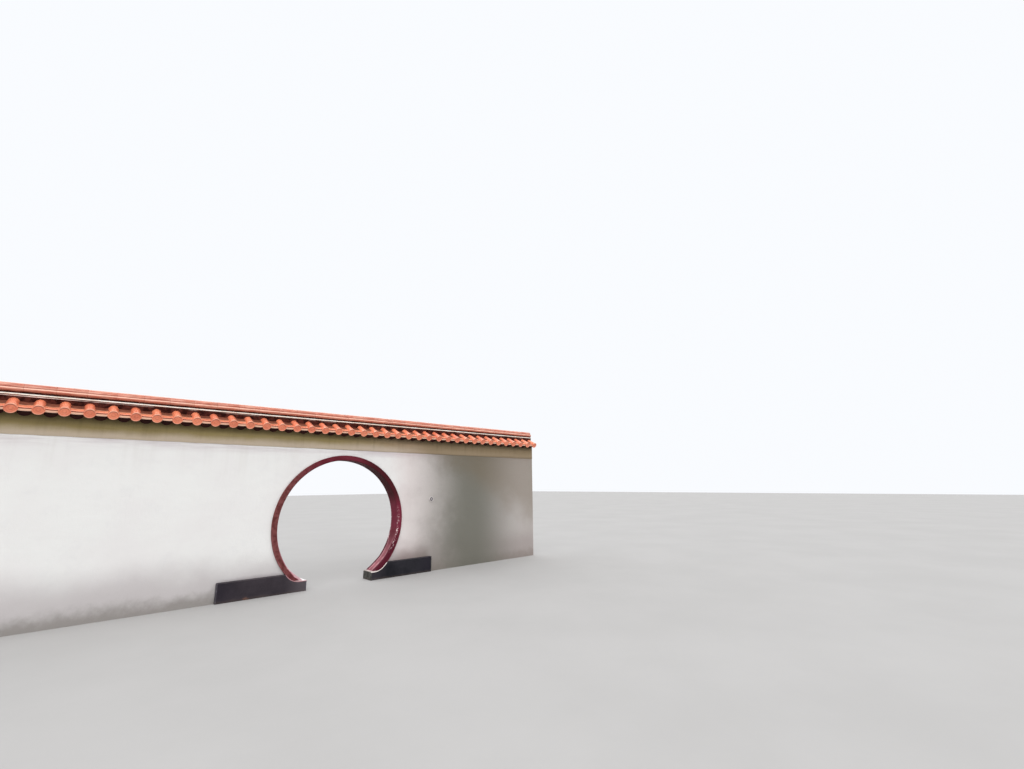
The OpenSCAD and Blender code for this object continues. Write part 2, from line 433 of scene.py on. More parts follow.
def split(place):
    """The X, Y and Z of a place."""
    x = add_node(place.tree, "ShaderNodeSeparateXYZ", "X", {"Vector": place})
    return [Reading(socket) for socket in x.socket.node.outputs]


def noise(place, scale, detail=5.0, squeeze=None):
    """Cloudy noise, which a squeeze along X, Y and Z draws out into streaks."""
    if squeeze:
        place = add_node(place.tree, "ShaderNodeMapping", 0, {"Vector": place, "Scale": squeeze})
    inputs = {"Vector": place, "Scale": scale, "Detail": detail, "Roughness": 0.6}
    return add_node(place.tree, "ShaderNodeTexNoise", "Fac", inputs)


def shader_group(*labels):
    """Builds a node group once from a function, and returns what places it in a material."""
    def build(work_out):
        group = bpy.data.node_groups.new(work_out.__name__, "ShaderNodeTree")
        group.interface.new_socket("place", in_out="INPUT", socket_type="NodeSocketVector")
        for label in labels:
            group.interface.new_socket(label, in_out="INPUT", socket_type="NodeSocketFloat")
        group.interface.new_socket("result", in_out="OUTPUT", socket_type="NodeSocketFloat")
        entry = group.nodes.new("NodeGroupInput")
        given = {label: Reading(entry.outputs[label]) for label in ("place", *labels)}
        feed(group.nodes.new("NodeGroupOutput"), {"result": work_out(**given)})

        def put_in(place, **inputs):
            inputs["place"] = place
            return add_node(place.tree, "ShaderNodeGroup", "result", inputs, node_tree=group)
        return put_in
    return build


@shader_group("scale", "low", "high")
def mottle(place, scale, low, high):
    """Soft clouds of tone."""
    return noise(place, scale).spread(low, high)


@shader_group("scale", "low", "high")
def smears(place, scale, low, high):
    """Level smears, as a float or a wet brush leaves them."""
    return noise(place, scale, 4.0, (0.12, 1.0, 1.6)).spread(low, high)


@shader_group("scale", "top", "foot")
def rain_runs(place, scale, top, foot):
    """Stains that run down from a level and fade out."""
    streaks = noise(place, scale, 4.0, (1.0, 1.0, 0.06)).spread(0.46, 0.70)
    return streaks * split(place)[2].spread(foot, top)


@shader_group("level", "softness", "ragged", "scale")
def ragged_level(place, level, softness, ragged, scale):
    """One below a level and nought above it, with a ragged edge."""
    height = split(place)[2] + (noise(place, scale) - 0.5) * ragged
    return height.fade(level, level + softness)


@shader_group("fine", "coarse", "share")
def grain(place, fine, coarse, share):
    """Fine relief of sand, trowel and pits."""
    return noise(place, fine, 3.0) + noise(place, coarse, 3.0) * share


@shader_group("radius", "nib_top", "sweep_x", "sweep_z", "touch_z")
def lip_edge(place, radius, nib_top, sweep_x, sweep_z, touch_z):
    """How far a point lies from the edge of the plinth's lip, in the plane of the wall."""
    x, _, z = split(place)
    x = abs(x)
    to_circle = distance(x, z - RING_Z) - radius
    to_sweep = distance(x - sweep_x, z - sweep_z) - SWEEP_R
    beside_gate = (z > touch_z).choose(to_sweep, to_circle)
    return (sweep_x > x).choose(beside_gate, z - nib_top)


@shader_group("first", "second", "width", "ragged", "scale")
def near_edge(place, first, second, width, ragged, scale):
    """Wear within a short way of an edge, given the distances to its two faces."""
    share = distance(first, second) / width
    return (share + (noise(place, scale) - 0.5) * ragged).fade(0.6, 1.1)


class Finish:
    """A material in the making, with the colour that its tints have built up so far."""

    def __init__(self, name, roughness, specular, coat=0.0):
        self.material = bpy.data.materials.new(name)
        self.material.use_nodes = True
        self.tree = self.material.node_tree
        self.shader = self.tree.nodes["Principled BSDF"]
        feed(self.shader, {"Roughness": roughness, "Specular IOR Level": specular})
        if coat:
            feed(self.shader, {"Coat Weight": coat, "Coat Roughness": 0.12})
        self.place = add_node(self.tree, "ShaderNodeTexCoord", "Object", {})

    def marked(self, label):
        """The value that was written at the points of the piece."""
        return add_node(self.tree, "ShaderNodeAttribute", "Fac", {}, attribute_name=label)

    def base(self, mask, first, second):
        self.colour = blend(mask, first, second)

    def tint(self, mask, colour):
        """Covers the colour so far with another one, as far as the mask says."""
        self.colour = blend(mask, self.colour, colour)

    def complete(self, roughness=None, relief=0.0, **grain_sizes):
        """Joins the colour, an uneven roughness and the relief of the grain to the shader."""
        feed(self.shader, {"Base Color": self.colour})
        if roughness:
            feed(self.shader, {"Roughness": roughness})
        if relief:
            inputs = {"Height": grain(self.place, **grain_sizes), "Strength": 1.0, "Distance": relief}
            feed(self.shader, {"Normal": add_node(self.tree, "ShaderNodeBump", "Normal", inputs)})
        return self.material


# Finishes: colours are screen values, places are metres

def plaster_finish():
    finish = Finish("lime_plaster", roughness=0.88, specular=0.25)
    place = finish.place
    x, y, z = split(place)
    clouds = mottle(place, scale=0.9, low=0.38, high=0.66)
    finish.base(clouds * 0.4, (232, 231, 228), (225, 220, 219))
    finish.tint(mottle(place, scale=5.0, low=0.52, high=0.78) * 0.14, (205, 204, 206))
    # A soft pinkish grey band of smears under the frieze, with a few weak runs of rain
    near_frieze = z.spread(FRIEZE_FOOT - 0.17, FRIEZE_FOOT - 0.01)
    finish.tint(near_frieze * smears(place, scale=7.0, low=0.36, high=0.64) * 0.7, (196, 184, 187))
    runs = rain_runs(place, scale=6.0, top=FRIEZE_FOOT + 0.1, foot=FRIEZE_FOOT - 0.75)
    finish.tint(runs * 0.12, (176, 168, 152))
    # Damp rises from the ground, and from the top of the plinths
    damp = ragged_level(place, level=PLINTH_TOP - 0.05, softness=0.55, ragged=0.3, scale=1.6)
    finish.tint(damp * 0.7, (176, 168, 168))
    creep = ragged_level(place, level=PLINTH_TOP - 0.01, softness=0.07, ragged=0.09, scale=6.0)
    above_plinth = abs(x).fade(PLINTH_END - 0.15, PLINTH_END + 0.02)
    finish.tint(creep * above_plinth * 0.45, (142, 132, 134))
    # A darker band above the right plinth, deepening towards the right
    right_dark_band = ragged_level(place, level=PLINTH_TOP, softness=0.26, ragged=0.12, scale=4.0)
    finish.tint(right_dark_band * x.spread(0.80, 1.25) * above_plinth * 0.85, (106, 102, 98))
    splash = ragged_level(place, level=0.02, softness=0.24, ragged=0.22, scale=7.0)
    finish.tint(splash * 0.6, (104, 98, 88))
    # Right of the gate the front is warmer, then darkens in painted shade of the plants mixed with grime,
    # with a brown stain down from the frieze
    front = y.fade(-WALL_FACE / 2, WALL_FACE / 2)
    wander = x + clouds * 0.2
    finish.tint(front * wander.spread(0.8, 1.4) * 0.3, (222, 190, 188))
    shade_eases_at_end = 0.95 - x.spread(3.0, 4.6) * 0.45
    weaker_behind = front * 0.7 + 0.3
    # Painted shade of the plants with some grime, easing off towards the far end
    finish.tint(wander.spread(0.85, 2.85) * shade_eases_at_end * weaker_behind, (106, 105, 95))
    up_and_right = z + x * 0.5 + clouds * 0.25
    stain = front * up_and_right.spread(2.9, 3.9) * x.spread(1.1, 2.4)
    finish.tint(stain * 0.5, (118, 104, 84))
    return finish.complete(relief=0.003, fine=120.0, coarse=7.0, share=1.6)


def frieze_finish():
    finish = Finish("stained_plaster", roughness=0.9, specular=0.2)
    place = finish.place
    x, _, z = split(place)
    clouds = smears(place, scale=6.0, low=0.36, high=0.66)
    left = blend(clouds, (154, 138, 94), (140, 124, 82))
    right = blend(clouds, (166, 144, 118), (148, 126, 100))
    finish.base(x.spread(-0.5, 1.5), left, right)
    finish.tint(x.spread(1.1, 2.0) * 0.8, (136, 119, 92))
    # The foot of the band is paler; the head under the tiles is darkest, partly stain and partly painted
    # shade under the coping
    pale_foot = ragged_level(place, level=FRIEZE_FOOT + 0.025, softness=0.13, ragged=0.09, scale=3.0)
    finish.tint(pale_foot * (0.85 - x.spread(0.8, 1.9) * 0.75), (192, 176, 158))
    finish.tint(z.spread(FRIEZE_FOOT + 0.12, WALL_TOP) * 0.6, (86, 74, 50))
    finish.tint(rain_runs(place, scale=9.0, top=WALL_TOP, foot=FRIEZE_FOOT - 0.1) * 0.3, (88, 76, 54))
    # A thin painted shadow line along the foot, weaker to the right
    above_foot = z - x * math.tan(FRIEZE_TILT) - (FRIEZE_FOOT - FRIEZE_DROP)
    weaker_right = 0.9 - x.spread(-0.6, 0.7) * 0.7
    finish.tint(above_foot.fade(0.002, 0.009) * weaker_right, (84, 76, 70))
    return finish.complete(relief=0.0035, fine=120.0, coarse=9.0, share=1.5)


def plinth_finish(side, light, dark, near_gate, lip_tone, lip_width, nib_tone):
    lip = LIPS[side]
    nib_level = lip["nib_top"]
    finish = Finish("dark_plinth_" + side, roughness=0.75, specular=0.1)
    place = finish.place
    x, y, z = split(place)
    across = abs(x)
    finish.base(mottle(place, scale=3.2, low=0.35, high=0.7), light, dark)
    finish.tint(across.fade(0.62, 0.95) * 0.65, near_gate)
    # Darker towards the far ends: painted shade
    finish.tint(across.spread(1.45, PLINTH_END) * 0.5, (36, 32, 42))
    finish.tint(mottle(place, scale=60.0, low=0.55, high=0.72) * 0.2, (84, 76, 80))
    # The ends are scraped to a mottled grey, with moss on the right one
    gate_end = across.fade(GATE_HALF + 0.006, GATE_HALF + 0.022)
    far_end = across.spread(PLINTH_END - 0.022, PLINTH_END - 0.006)
    patches = mottle(place, scale=14.0, low=0.36, high=0.62)
    scraped = blend(patches, (102, 98, 104), (74, 70, 76))
    mossy = blend(patches, (90, 89, 84), (64, 63, 58))
    finish.tint(gate_end.larger(far_end) * 0.85, blend(x.spread(0.4, 0.6), scraped, mossy))
    # Worn edges along the top, and a pale top on the nibs, where feet rest
    from_face = abs(y) - PLINTH_FACE
    edge = near_edge(place, first=z - PLINTH_TOP, second=from_face, width=0.014, ragged=1.4, scale=14.0)
    finish.tint(edge * 0.3, (104, 96, 98))
    nib_top = z.spread(nib_level - 0.006, nib_level - 0.001)
    on_nib = across.fade(lip["sweep_x"], lip["sweep_x"] + 0.05)
    nib_colour = blend(across.fade(GATE_HALF + 0.05, GATE_HALF + 0.10), (158, 144, 140), nib_tone)
    finish.tint(nib_top * on_nib * 0.9, nib_colour)
    # A pale line of wear and mortar follows the edge of the lip
    cope = near_edge(place, first=lip_edge(place, **lip), second=from_face, width=lip_width, ragged=0.7,
                     scale=16.0)
    under_top = z.fade(PLINTH_TOP - 0.02, PLINTH_TOP - 0.004)
    finish.tint(cope * under_top * z.spread(nib_level - 0.022, nib_level - 0.010), lip_tone)
    # Mud at the foot, and one rust brown blotch on the left
    finish.tint(ragged_level(place, level=0.0, softness=0.05, ragged=0.08, scale=9.0) * 0.3, (96, 84, 76))
    from_blotch = distance(x + 1.47, z * 1.4) + patches * 0.03
    finish.tint(from_blotch.fade(0.03, 0.085) * 0.6, (116, 84, 70))
    return finish.complete(relief=0.0022, fine=90.0, coarse=24.0, share=1.2)


def ring_finish():
    finish = Finish("dark_red_paint", roughness=0.55, specular=0.1)
    place = finish.place
    x, y, z = split(place)
    depth = abs(y)
    radius = distance(x, z - RING_Z)
    finish.base(mottle(place, scale=4.5, low=0.35, high=0.7), (106, 38, 50), (90, 27, 36))
    # The band on the left has weathered to a browner red; the crown and its upper right are darkened with
    # painted shade
    browner = blend(mottle(place, scale=15.0, low=0.40, high=0.64), (119, 67, 66), (91, 44, 43))
    finish.tint(x.fade(-1.05, -0.35), browner)
    right = x.spread(0.50, 0.72)
    finish.tint(x.spread(0.20, 0.55) * z.spread(1.2, 1.6) * 0.85, (64, 19, 24))
    finish.tint(right * z.spread(0.75, 0.95) * z.fade(1.25, 1.5) * 0.8, (118, 42, 60))
    finish.tint(right * z.fade(0.55, 0.90) * 0.85, (80, 20, 36))
    inside = radius.fade(RING_IN + 0.004, RING_IN + 0.012)
    # The upper reveal, which faces down, is darkened with painted shade
    finish.tint(inside * z.spread(1.25, 2.0) * 0.6, (60, 28, 29))
    # The lower right of the reveal is rubbed to a dusty pink, all but a strip beside the face
    rub = mottle(place, scale=12.0, low=0.25, high=0.60)
    strip = z.fade(0.55, 0.85) * 0.050
    from_strip = RING_FACE - (depth + strip)
    rubbed = right * z.fade(0.15, 0.95) * inside * from_strip.spread(-0.002, 0.008) * (rub * 0.5 + 0.5)
    finish.tint(rubbed, (168, 102, 110))
    finish.tint(rubbed * from_strip.fade(0.02, 0.06) * rub * 0.6, (202, 158, 162))
    # Chips along both arrises, most of them low on the right; the pale line on the inner arris is partly
    # wear and partly painted highlight
    from_face = depth - RING_FACE
    from_inside = radius - RING_IN
    outer = near_edge(place, first=from_face, second=radius - RING_OUT, width=0.016, ragged=2.2, scale=13.0)
    inner = near_edge(place, first=from_face, second=from_inside, width=0.014, ragged=1.0, scale=17.0)
    lower = z.fade(0.35, 1.15)
    wear_and_highlight = lower * right.choose(0.7, z.spread(0.55, 0.80)) * 0.7
    finish.tint(outer * lower * 0.35, (170, 110, 112))
    finish.tint(inner * wear_and_highlight, (202, 134, 146))
    bare_left = near_edge(place, first=from_face, second=radius - (RING_IN - 0.012), width=0.022,
                          ragged=2.4, scale=22.0)
    finish.tint(bare_left * x.fade(-0.56, -0.50) * z.fade(0.34, 0.48) * 0.8, (214, 174, 178))
    chips = mottle(place, scale=32.0, low=0.55, high=0.60)
    beside_arris = near_edge(place, first=from_face, second=from_inside, width=0.034, ragged=1.8, scale=15.0)
    finish.tint(chips * beside_arris * right * z.fade(0.95, 1.35) * z.spread(0.42, 0.70), (240, 212, 212))
    # A pale line of mortar under both feet
    foot_level = (x > 0.0).choose(LIPS["left"]["nib_top"], LIPS["right"]["nib_top"])
    finish.tint((z - foot_level).fade(0.006, 0.014) * 0.85, (214, 200, 196))
    return finish.complete(rub * 0.2 + 0.50, relief=0.0022, fine=70.0, coarse=16.0, share=2.0)


def glaze_finish(name, light, dark, edge, dirt, crevice, dirt_share, roughness, coat, specular, streaks=0.0):
    """Fired glaze: each tile has its own tone, with pooled colour, dust and fine crazing."""
    finish = Finish(name, roughness, specular, coat)
    place = finish.place
    pools = mottle(place, scale=14.0, low=0.35, high=0.68)
    finish.base(finish.marked("tone") * 0.5 + pools * 0.5, light, dark)
    # Painted highlights on the rims of round ends, the pans' beads and the ridge's crest and nose, and the
    # light front lips of the upper pans
    finish.tint(finish.marked("highlights_and_lips"), edge)
    grime = mottle(place, scale=6.0, low=0.48, high=0.74)
    finish.tint(grime * dirt_share, dirt)
    finish.tint(mottle(place, scale=55.0, low=0.62, high=0.74) * 0.35, dirt)
    # Light streaks: partly dust, partly painted highlight
    if streaks:
        finish.tint(smears(place, scale=42.0, low=0.44, high=0.62) * streaks, edge)
    # Grooves and creases are darkened: some dirt, mostly painted shade
    hollow = finish.marked("hollow")
    finish.tint(hollow * 0.9, crevice)
    uneven = grime.larger(hollow) * 0.3 + roughness
    return finish.complete(uneven, relief=0.0012, fine=90.0, coarse=22.0, share=1.5)


def mortar_finish(name, pale, dark, specular, scale):
    finish = Finish(name, roughness=0.92, specular=specular)
    finish.base(mottle(finish.place, scale=scale, low=0.40, high=0.60), pale, dark)
    finish.tint(mottle(finish.place, scale=70.0, low=0.55, high=0.72) * 0.25, dark)
    return finish.complete(relief=0.005, fine=80.0, coarse=20.0, share=2.0)


def thin_joint_finish():
    """A second line of mortar, clear at the left end and mostly washed out further on."""
    finish = Finish("washed_out_mortar", roughness=0.92, specular=0.1)
    further_on = split(finish.place)[0].spread(-4.1, -3.1)
    washed = mottle(finish.place, scale=3.0, low=0.40, high=0.58)
    finish.base(further_on * 0.7 + washed * 0.45, (255, 230, 218), (74, 42, 34))
    return finish.complete(relief=0.005, fine=80.0, coarse=20.0, share=2.0)


def fixing_finish():
    """A light rim, a groove darkened with painted shade, and a grey boss."""
    finish = Finish("weathered_fixing", roughness=0.55, specular=0.35)
    x, _, z = split(finish.place)
    clouds = mottle(finish.place, scale=40.0, low=0.35, high=0.7)
    finish.base(clouds, (212, 206, 204), (188, 182, 180))
    radius = distance(x - FIXING_MIDDLE.x, z - FIXING_MIDDLE.z)
    finish.tint(radius.fade(0.022, 0.026), blend(clouds, (172, 166, 168), (150, 144, 146)))
    finish.tint(radius.spread(0.020, 0.024) * radius.fade(0.034, 0.038), (58, 52, 56))
    return finish.complete(relief=0.0006, fine=200.0, coarse=60.0, share=0.5)


def floor_finish():
    finish = Finish("plain_floor", roughness=0.95, specular=0.1)
    finish.base(mottle(finish.place, scale=0.5, low=0.3, high=0.7), (180, 178, 176), (176, 174, 172))
    return finish.complete()


FINISHES = {
    "plaster": plaster_finish(),
    "frieze": frieze_finish(),
    "plinth_left": plinth_finish(
        "left", light=(60, 54, 59), dark=(48, 43, 48), near_gate=(94, 87, 91), lip_tone=(180, 134, 138),
        lip_width=0.011, nib_tone=(252, 248, 248)),
    # The right plinth is darker than the left, partly painted shadow
    "plinth_right": plinth_finish(
        "right", light=(43, 42, 47), dark=(28, 28, 33), near_gate=(58, 53, 58), lip_tone=(236, 224, 218),
        lip_width=0.012, nib_tone=(158, 148, 140)),
    "ring": ring_finish(),
    "glaze": glaze_finish(
        "orange_glaze", light=(255, 150, 110), dark=(230, 118, 84), edge=(255, 202, 172),
        dirt=(146, 76, 54), crevice=(104, 34, 12), dirt_share=0.25, roughness=0.26, coat=0.55, specular=0.5),
    # The ridge tiles take a darker glaze than the rolls, with painted highlights on crest and nose
    "ridge_glaze": glaze_finish(
        "ridge_glaze_with_highlights", light=(204, 113, 86), dark=(177, 86, 61), edge=(250, 202, 176),
        dirt=(136, 68, 46), crevice=(110, 46, 27), dirt_share=0.3, roughness=0.32, coat=0.4, specular=0.4,
        streaks=0.35),
    # The upper pans' dark glaze is partly dirt, partly painted shade between the rolls
    "pan_glaze": glaze_finish(
        "dark_pan_glaze", light=(136, 80, 60), dark=(84, 40, 29), edge=(220, 152, 118),
        dirt=(96, 64, 48), crevice=(48, 20, 14), dirt_share=0.4, roughness=0.6, coat=0.0, specular=0.12),
    # The drips' near-black glaze is partly their own dark colour, partly painted shade under the rims
    "drip_glaze": glaze_finish(
        "dark_drip_glaze", light=(50, 20, 16), dark=(34, 12, 10), edge=(50, 20, 16),
        dirt=(58, 38, 32), crevice=(24, 8, 6), dirt_share=0.3, roughness=0.6, coat=0.0, specular=0.1),
    # The bedding's dark tone is partly its own colour, partly painted shade under the tiles and the ridge
    "bedding": mortar_finish("dark_bedding_and_shade", (86, 42, 34), (44, 16, 12), specular=0.08, scale=12.0),
    "mortar": mortar_finish("pale_mortar", (255, 252, 242), (240, 228, 212), specular=0.2, scale=7.0),
    "thin_joint": thin_joint_finish(),
    "fixing": fixing_finish(),
    "floor": floor_finish(),
}


def complete(piece, finish, slot, *nodes, sharp=35):
    """Smooths a piece but for its sharp edges, gives it its finish, hangs it on the root and hides the parts
    it replaces.
    """
    hold(piece)
    bpy.ops.object.shade_smooth_by_angle(angle=math.radians(sharp))
    piece.data.materials.clear()
    piece.data.materials.append(FINISHES[finish])
    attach(piece, "root")
    if nodes:
        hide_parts(*nodes)


# Camera, light and floor

def place_camera():
    """A camera at the eye of whoever stands left of the gate and looks along the wall."""
    eye = Vector((-3.8335, -8.5145, 1.686))
    yaw, pitch, roll = (math.radians(angle) for angle in (43.631, 11.882, -0.438))
    data = bpy.data.cameras.new("eye_level_camera")
    data.sensor_width = 36.0
    data.lens = 16.66
    data.clip_end = 200.0
    camera = bpy.data.objects.new("eye_level_camera", data)
    bpy.context.scene.collection.objects.link(camera)
    turn = (Matrix.Rotation(-yaw, 4, "Z") @ Matrix.Rotation(math.pi / 2 + pitch, 4, "X")
            @ Matrix.Rotation(roll, 4, "Z"))
    camera.matrix_world = Matrix.Translation(eye) @ turn
    bpy.context.scene.camera = camera


def add_soft_light(name, place, strength):
    """A very soft light that shines from a far place towards the gate."""
    data = bpy.data.lights.new(name, "SUN")
    data.energy = strength
    data.angle = math.radians(70)
    lamp = bpy.data.objects.new(name, data)
    bpy.context.scene.collection.objects.link(lamp)
    lamp.location = place
    lamp.rotation_euler = (-Vector(place)).to_track_quat("-Z", "Y").to_euler()


def light_the_studio():
    """An even white tent all round, with a soft key from the upper front left."""
    world = bpy.data.worlds.new("white_tent")
    world.use_nodes = True
    feed(world.node_tree.nodes["Background"], {"Color": (0.95, 0.97, 1.0, 1.0), "Strength": 1.0})
    bpy.context.scene.world = world
    bpy.context.scene.view_settings.view_transform = "Standard"
    add_soft_light("soft_key", (-4.0, -7.0, 9.0), 1.4)
    add_soft_light("soft_fill_behind", (4.0, 7.0, 9.0), 0.6)


def lay_floor():
    floor = start_piece("floor", bpy.ops.mesh.primitive_plane_add, size=160.0)
    floor.data.materials.append(FINISHES["floor"])


# The ring and its plinths

def from_centre(point):
    """How far a point lies from the middle line of the opening."""
    return math.hypot(point.x, point.z - RING_Z)


def foot_share(point, side):
    """How far a point joins in the swelling of the ring's foot, toward the opening."""
    share = min(max((SWELL_TOP - point.z) / SWELL_HEIGHT, 0.0), 1.0)
    on_reveal = side * point.x > 0 and from_centre(point) < RING_IN + 0.012
    return share * share * (3 - 2 * share) if on_reveal else 0.0


def chip_share(point):
    """Where the ring's arrises chip: low down, and more on the right."""
    at_face = abs(point.y) > RING_FACE - 0.006
    at_edge = from_centre(point) > RING_OUT - 0.006 or from_centre(point) < RING_IN + 0.004
    low_down = 0.16 < point.z < 1.1
    if not (at_face and at_edge and low_down):
        return 0.0
    return 1.0 if point.x > 0 else 0.5


def make_ring():
    """A rounded section is spun once round the opening, then cut level at the feet."""
    centre_line = (RING_IN + RING_OUT) / 2
    ring = add_sheet("ring_frame", (centre_line, 0, RING_Z), RING_BAND, 2 * RING_FACE)
    edit(ring)
    round_corners(lambda v: v.co.x > centre_line, OUTER_ARRIS, segments=5)
    round_corners(lambda v: v.co.x < RING_IN + NEAR, INNER_ARRIS, segments=4)
    pick_all()
    bpy.ops.mesh.delete(type="ONLY_FACE")
    divide(lambda e: e.calc_length() > 0.2, cuts=11)
    divide(lambda e: e.calc_length() > 0.04, cuts=2)
    pick_all()
    bpy.ops.mesh.spin(steps=420, angle=2 * math.pi, center=(0, 0, RING_Z), axis=(0, 1, 0))
    merge_doubles()
    cut_flat((0, 0, NIB_TOP), (0, 0, 1))
    turn_outwards()
    leave_edit()
    for side_name, side in SIDES.items():
        group = "foot_" + side_name
        weigh(ring, group, lambda point: foot_share(point, side))
        use_modifier(ring, "DISPLACE", direction="X", strength=-side * FOOT_SWELLS[side_name],
                     mid_level=0.0, vertex_group=group)
    weigh(ring, "arrises", chip_share)
    hand_finish(ring, lump_size=0.30, height=0.004)
    hand_finish(ring, lump_size=0.035, height=-0.0025, group="arrises", mid_level=0.35, contrast=3.5,
                brightness=0.75)
    complete(ring, "ring", "ring_paint", "ring_lining", "ring_band_front", "ring_band_back")


def cope_cutter(radius, half_depth, foot):
    """What the plinth loses to the ring: a drum, cut off level with the nib."""
    drum = add_drum("cope_cutter", radius, -half_depth, half_depth, z=RING_Z, sides=200)
    edit(drum)
    cut_flat((0, 0, foot), (0, 0, 1))
    leave_edit()
    return drum


def lip_cutter(side, lip):
    """What the lip loses to the ring: its circle, less the stone in the corner outside the sweep."""
    clear = 0.05
    drum = cope_cutter(lip["radius"], PLINTH_FACE + clear, lip["nib_top"])
    sweep_x = side * lip["sweep_x"]
    corner = add_block("sweep_corner", (sweep_x, -THROUGH, lip["nib_top"] - clear),
                       (side * (lip["radius"] + clear), THROUGH, lip["touch_z"]))
    sweep = add_drum("sweep", SWEEP_R, -THROUGH - clear, THROUGH + clear, sweep_x, lip["sweep_z"], sides=160)
    cut_away(corner, sweep)
    cut_away(drum, corner)
    return drum


def make_plinth(side_name, side):
    lip = LIPS[side_name]
    near_x = side * (GATE_HALF - LONGER_NIBS[side_name])
    plinth = add_block("plinth_block_" + side_name, (near_x, -PLINTH_FACE, 0),
                       (side * PLINTH_END, PLINTH_FACE, PLINTH_TOP))
    cut_away(plinth, cope_cutter(RING_OUT - 0.002, RING_FACE + 0.0005, lip["nib_top"]))
    cut_away(plinth, lip_cutter(side, lip))
    make_sound(plinth)
    use_modifier(plinth, "REMESH", mode="VOXEL", voxel_size=0.0065)
    use_modifier(plinth, "LAPLACIANSMOOTH", iterations=2, lambda_factor=0.35)
    hand_finish(plinth, lump_size=0.10, height=0.003)
    complete(plinth, "plinth_" + side_name, "plinth_stone", "plinth_" + side_name, sharp=60)


# The wall

def make_wall():
    """One plastered body, cut round the ring and over the plinths, its faces slightly wavy."""
    wall = add_block("wall_body", (-WALL_END, -WALL_FACE, 0), (WALL_END, WALL_FACE, WALL_TOP))
    edit(wall)
    divide(along_x, cuts=96)
    divide(lambda e: reach(e).z > 1.0, cuts=25)
    leave_edit()
    hand_finish(wall, lump_size=0.8, height=0.007, direction="Y")
    cut_away(wall, add_drum("opening", RING_OUT - PLASTER_LAP, -THROUGH, THROUGH, z=RING_Z, sides=240))
    for side in SIDES.values():
        notch = add_block("notch", (0, -THROUGH, -0.1),
                          (side * (PLINTH_END - WALL_IN_PLINTH), THROUGH, PLINTH_TOP - WALL_IN_PLINTH))
        cut_away(wall, notch)
    ease_edges(wall, width=0.006)
    make_sound(wall)
    parts = [side + part for side in ("wall_left_", "wall_right_")
             for part in ("run", "pier", "springing", "haunch")]
    complete(wall, "plaster", "plaster", "wall_crown", *parts)


def make_frieze(face_name, face):
    """A thin coat of plaster under the coping, trowelled off along a wandering line."""
    back_y = face * (WALL_FACE - PLASTER_LAP)
    frieze = add_block("frieze_coat_" + face_name, (-WALL_END, back_y, FRIEZE_FOOT),
                       (WALL_END, face * FRIEZE_FACE, WALL_TOP))
    edit(frieze)
    divide(along_x, cuts=260)
    divide(lambda e: reach(e).z > 0.1, cuts=5)
    leave_edit()
    weigh(frieze, "foot", lambda point: point.z < FRIEZE_FOOT + NEAR)
    edit(frieze)
    pick("VERT", lambda v: v.co.z < FRIEZE_FOOT + NEAR)
    bpy.ops.transform.translate(value=(0, 0, -FRIEZE_DROP))
    bpy.ops.transform.rotate(value=-FRIEZE_TILT, orient_axis="Y",
                             center_override=(0, 0, FRIEZE_FOOT - FRIEZE_DROP))
    leave_edit()
    hand_finish(frieze, lump_size=0.16, height=0.010, direction="Z", group="foot")
    hand_finish(frieze, lump_size=0.35, height=0.004, direction="Y")
    ease_edges(frieze, width=0.003)
    complete(frieze, "frieze", "frieze_plaster", "frieze_" + face_name)


def make_fixing():
    """A round plate with a raised rim, a deep groove and a rounded boss."""
    radius = (fixing_high.x - fixing_low.x) / 2
    plate = add_drum("fixing_plate", radius, fixing_low.y + 0.001, fixing_high.y + 0.004,
                     FIXING_MIDDLE.x, FIXING_MIDDLE.z, 48)
    carve_front(plate, ((0.0015, 0.001), (0.009, 0.0), (0.0015, -0.001), (0.001, -0.004),
                        (0.010, 0.0), (0.001, 0.004), (0.002, 0.001), (0.008, 0.001)))
    complete(plate, "fixing", "fixing_grey", "wall_fixing", sharp=30)


# The coping

def make_bed():
    """Mortar and brick under the tiles, sloped on both sides, with a flat soffit."""
    bed = add_block("bedding_core", bed_low, bed_high)
    edit(bed)
    for face in FACES.values():
        cut_flat((0, face * CAP_Y, CAP_Z), (0, -face * math.sin(SLOPE), -math.cos(SLOPE)))
    divide(along_x, cuts=180)
    leave_edit()
    hand_finish(bed, lump_size=0.12, height=0.008)
    ease_edges(bed, width=0.006, degrees=30)
    complete(bed, "bedding", "bedding", "coping_bed")


def lay_tiles(name, pattern, places, chance, finish, slot, node):
    """Copies one tile to every place, each with its own mesh and tone, and joins them."""
    laid = []
    for place in places:
        tile = pattern.copy()
        tile.data = pattern.data.copy()
        tile.data.transform(place)
        bpy.context.scene.collection.objects.link(tile)
        tone = chance.random()
        mark(tile, "tone", lambda point: tone)
        laid.append(tile)
    hold(laid[0])
    for tile in laid[1:]:
        tile.select_set(True)
    bpy.ops.object.join()
    bpy.data.objects.remove(pattern)
    complete(name_piece(name), finish, slot, node, sharp=40)


def nudge(chance, degrees):
    """A small turn and shift, by which laid tiles differ."""
    turns = [Matrix.Rotation(math.radians(chance.uniform(-degrees, degrees)), 4, axis) for axis in "YZ"]
    shift = Vector((chance.uniform(-TILE_SHIFT, TILE_SHIFT), chance.uniform(-TILE_SHIFT, TILE_SHIFT), 0))
    return Matrix.Translation(shift) @ turns[0] @ turns[1]


def slope_places(count, face, chance, degrees):
    """A row of places on the front or back slope, about the middle of the wall."""
    to_face = Matrix.Rotation(math.pi if face > 0 else 0.0, 4, "Z")
    places = []
    for number in range(count):
        x = -face * (number - (count - 1) / 2) * TILE_PITCH
        on_slope = Matrix.Translation((x, -CAP_Y, CAP_Z)) @ Matrix.Rotation(SLOPE, 4, "X")
        places.append(to_face @ on_slope @ nudge(chance, degrees))
    return places


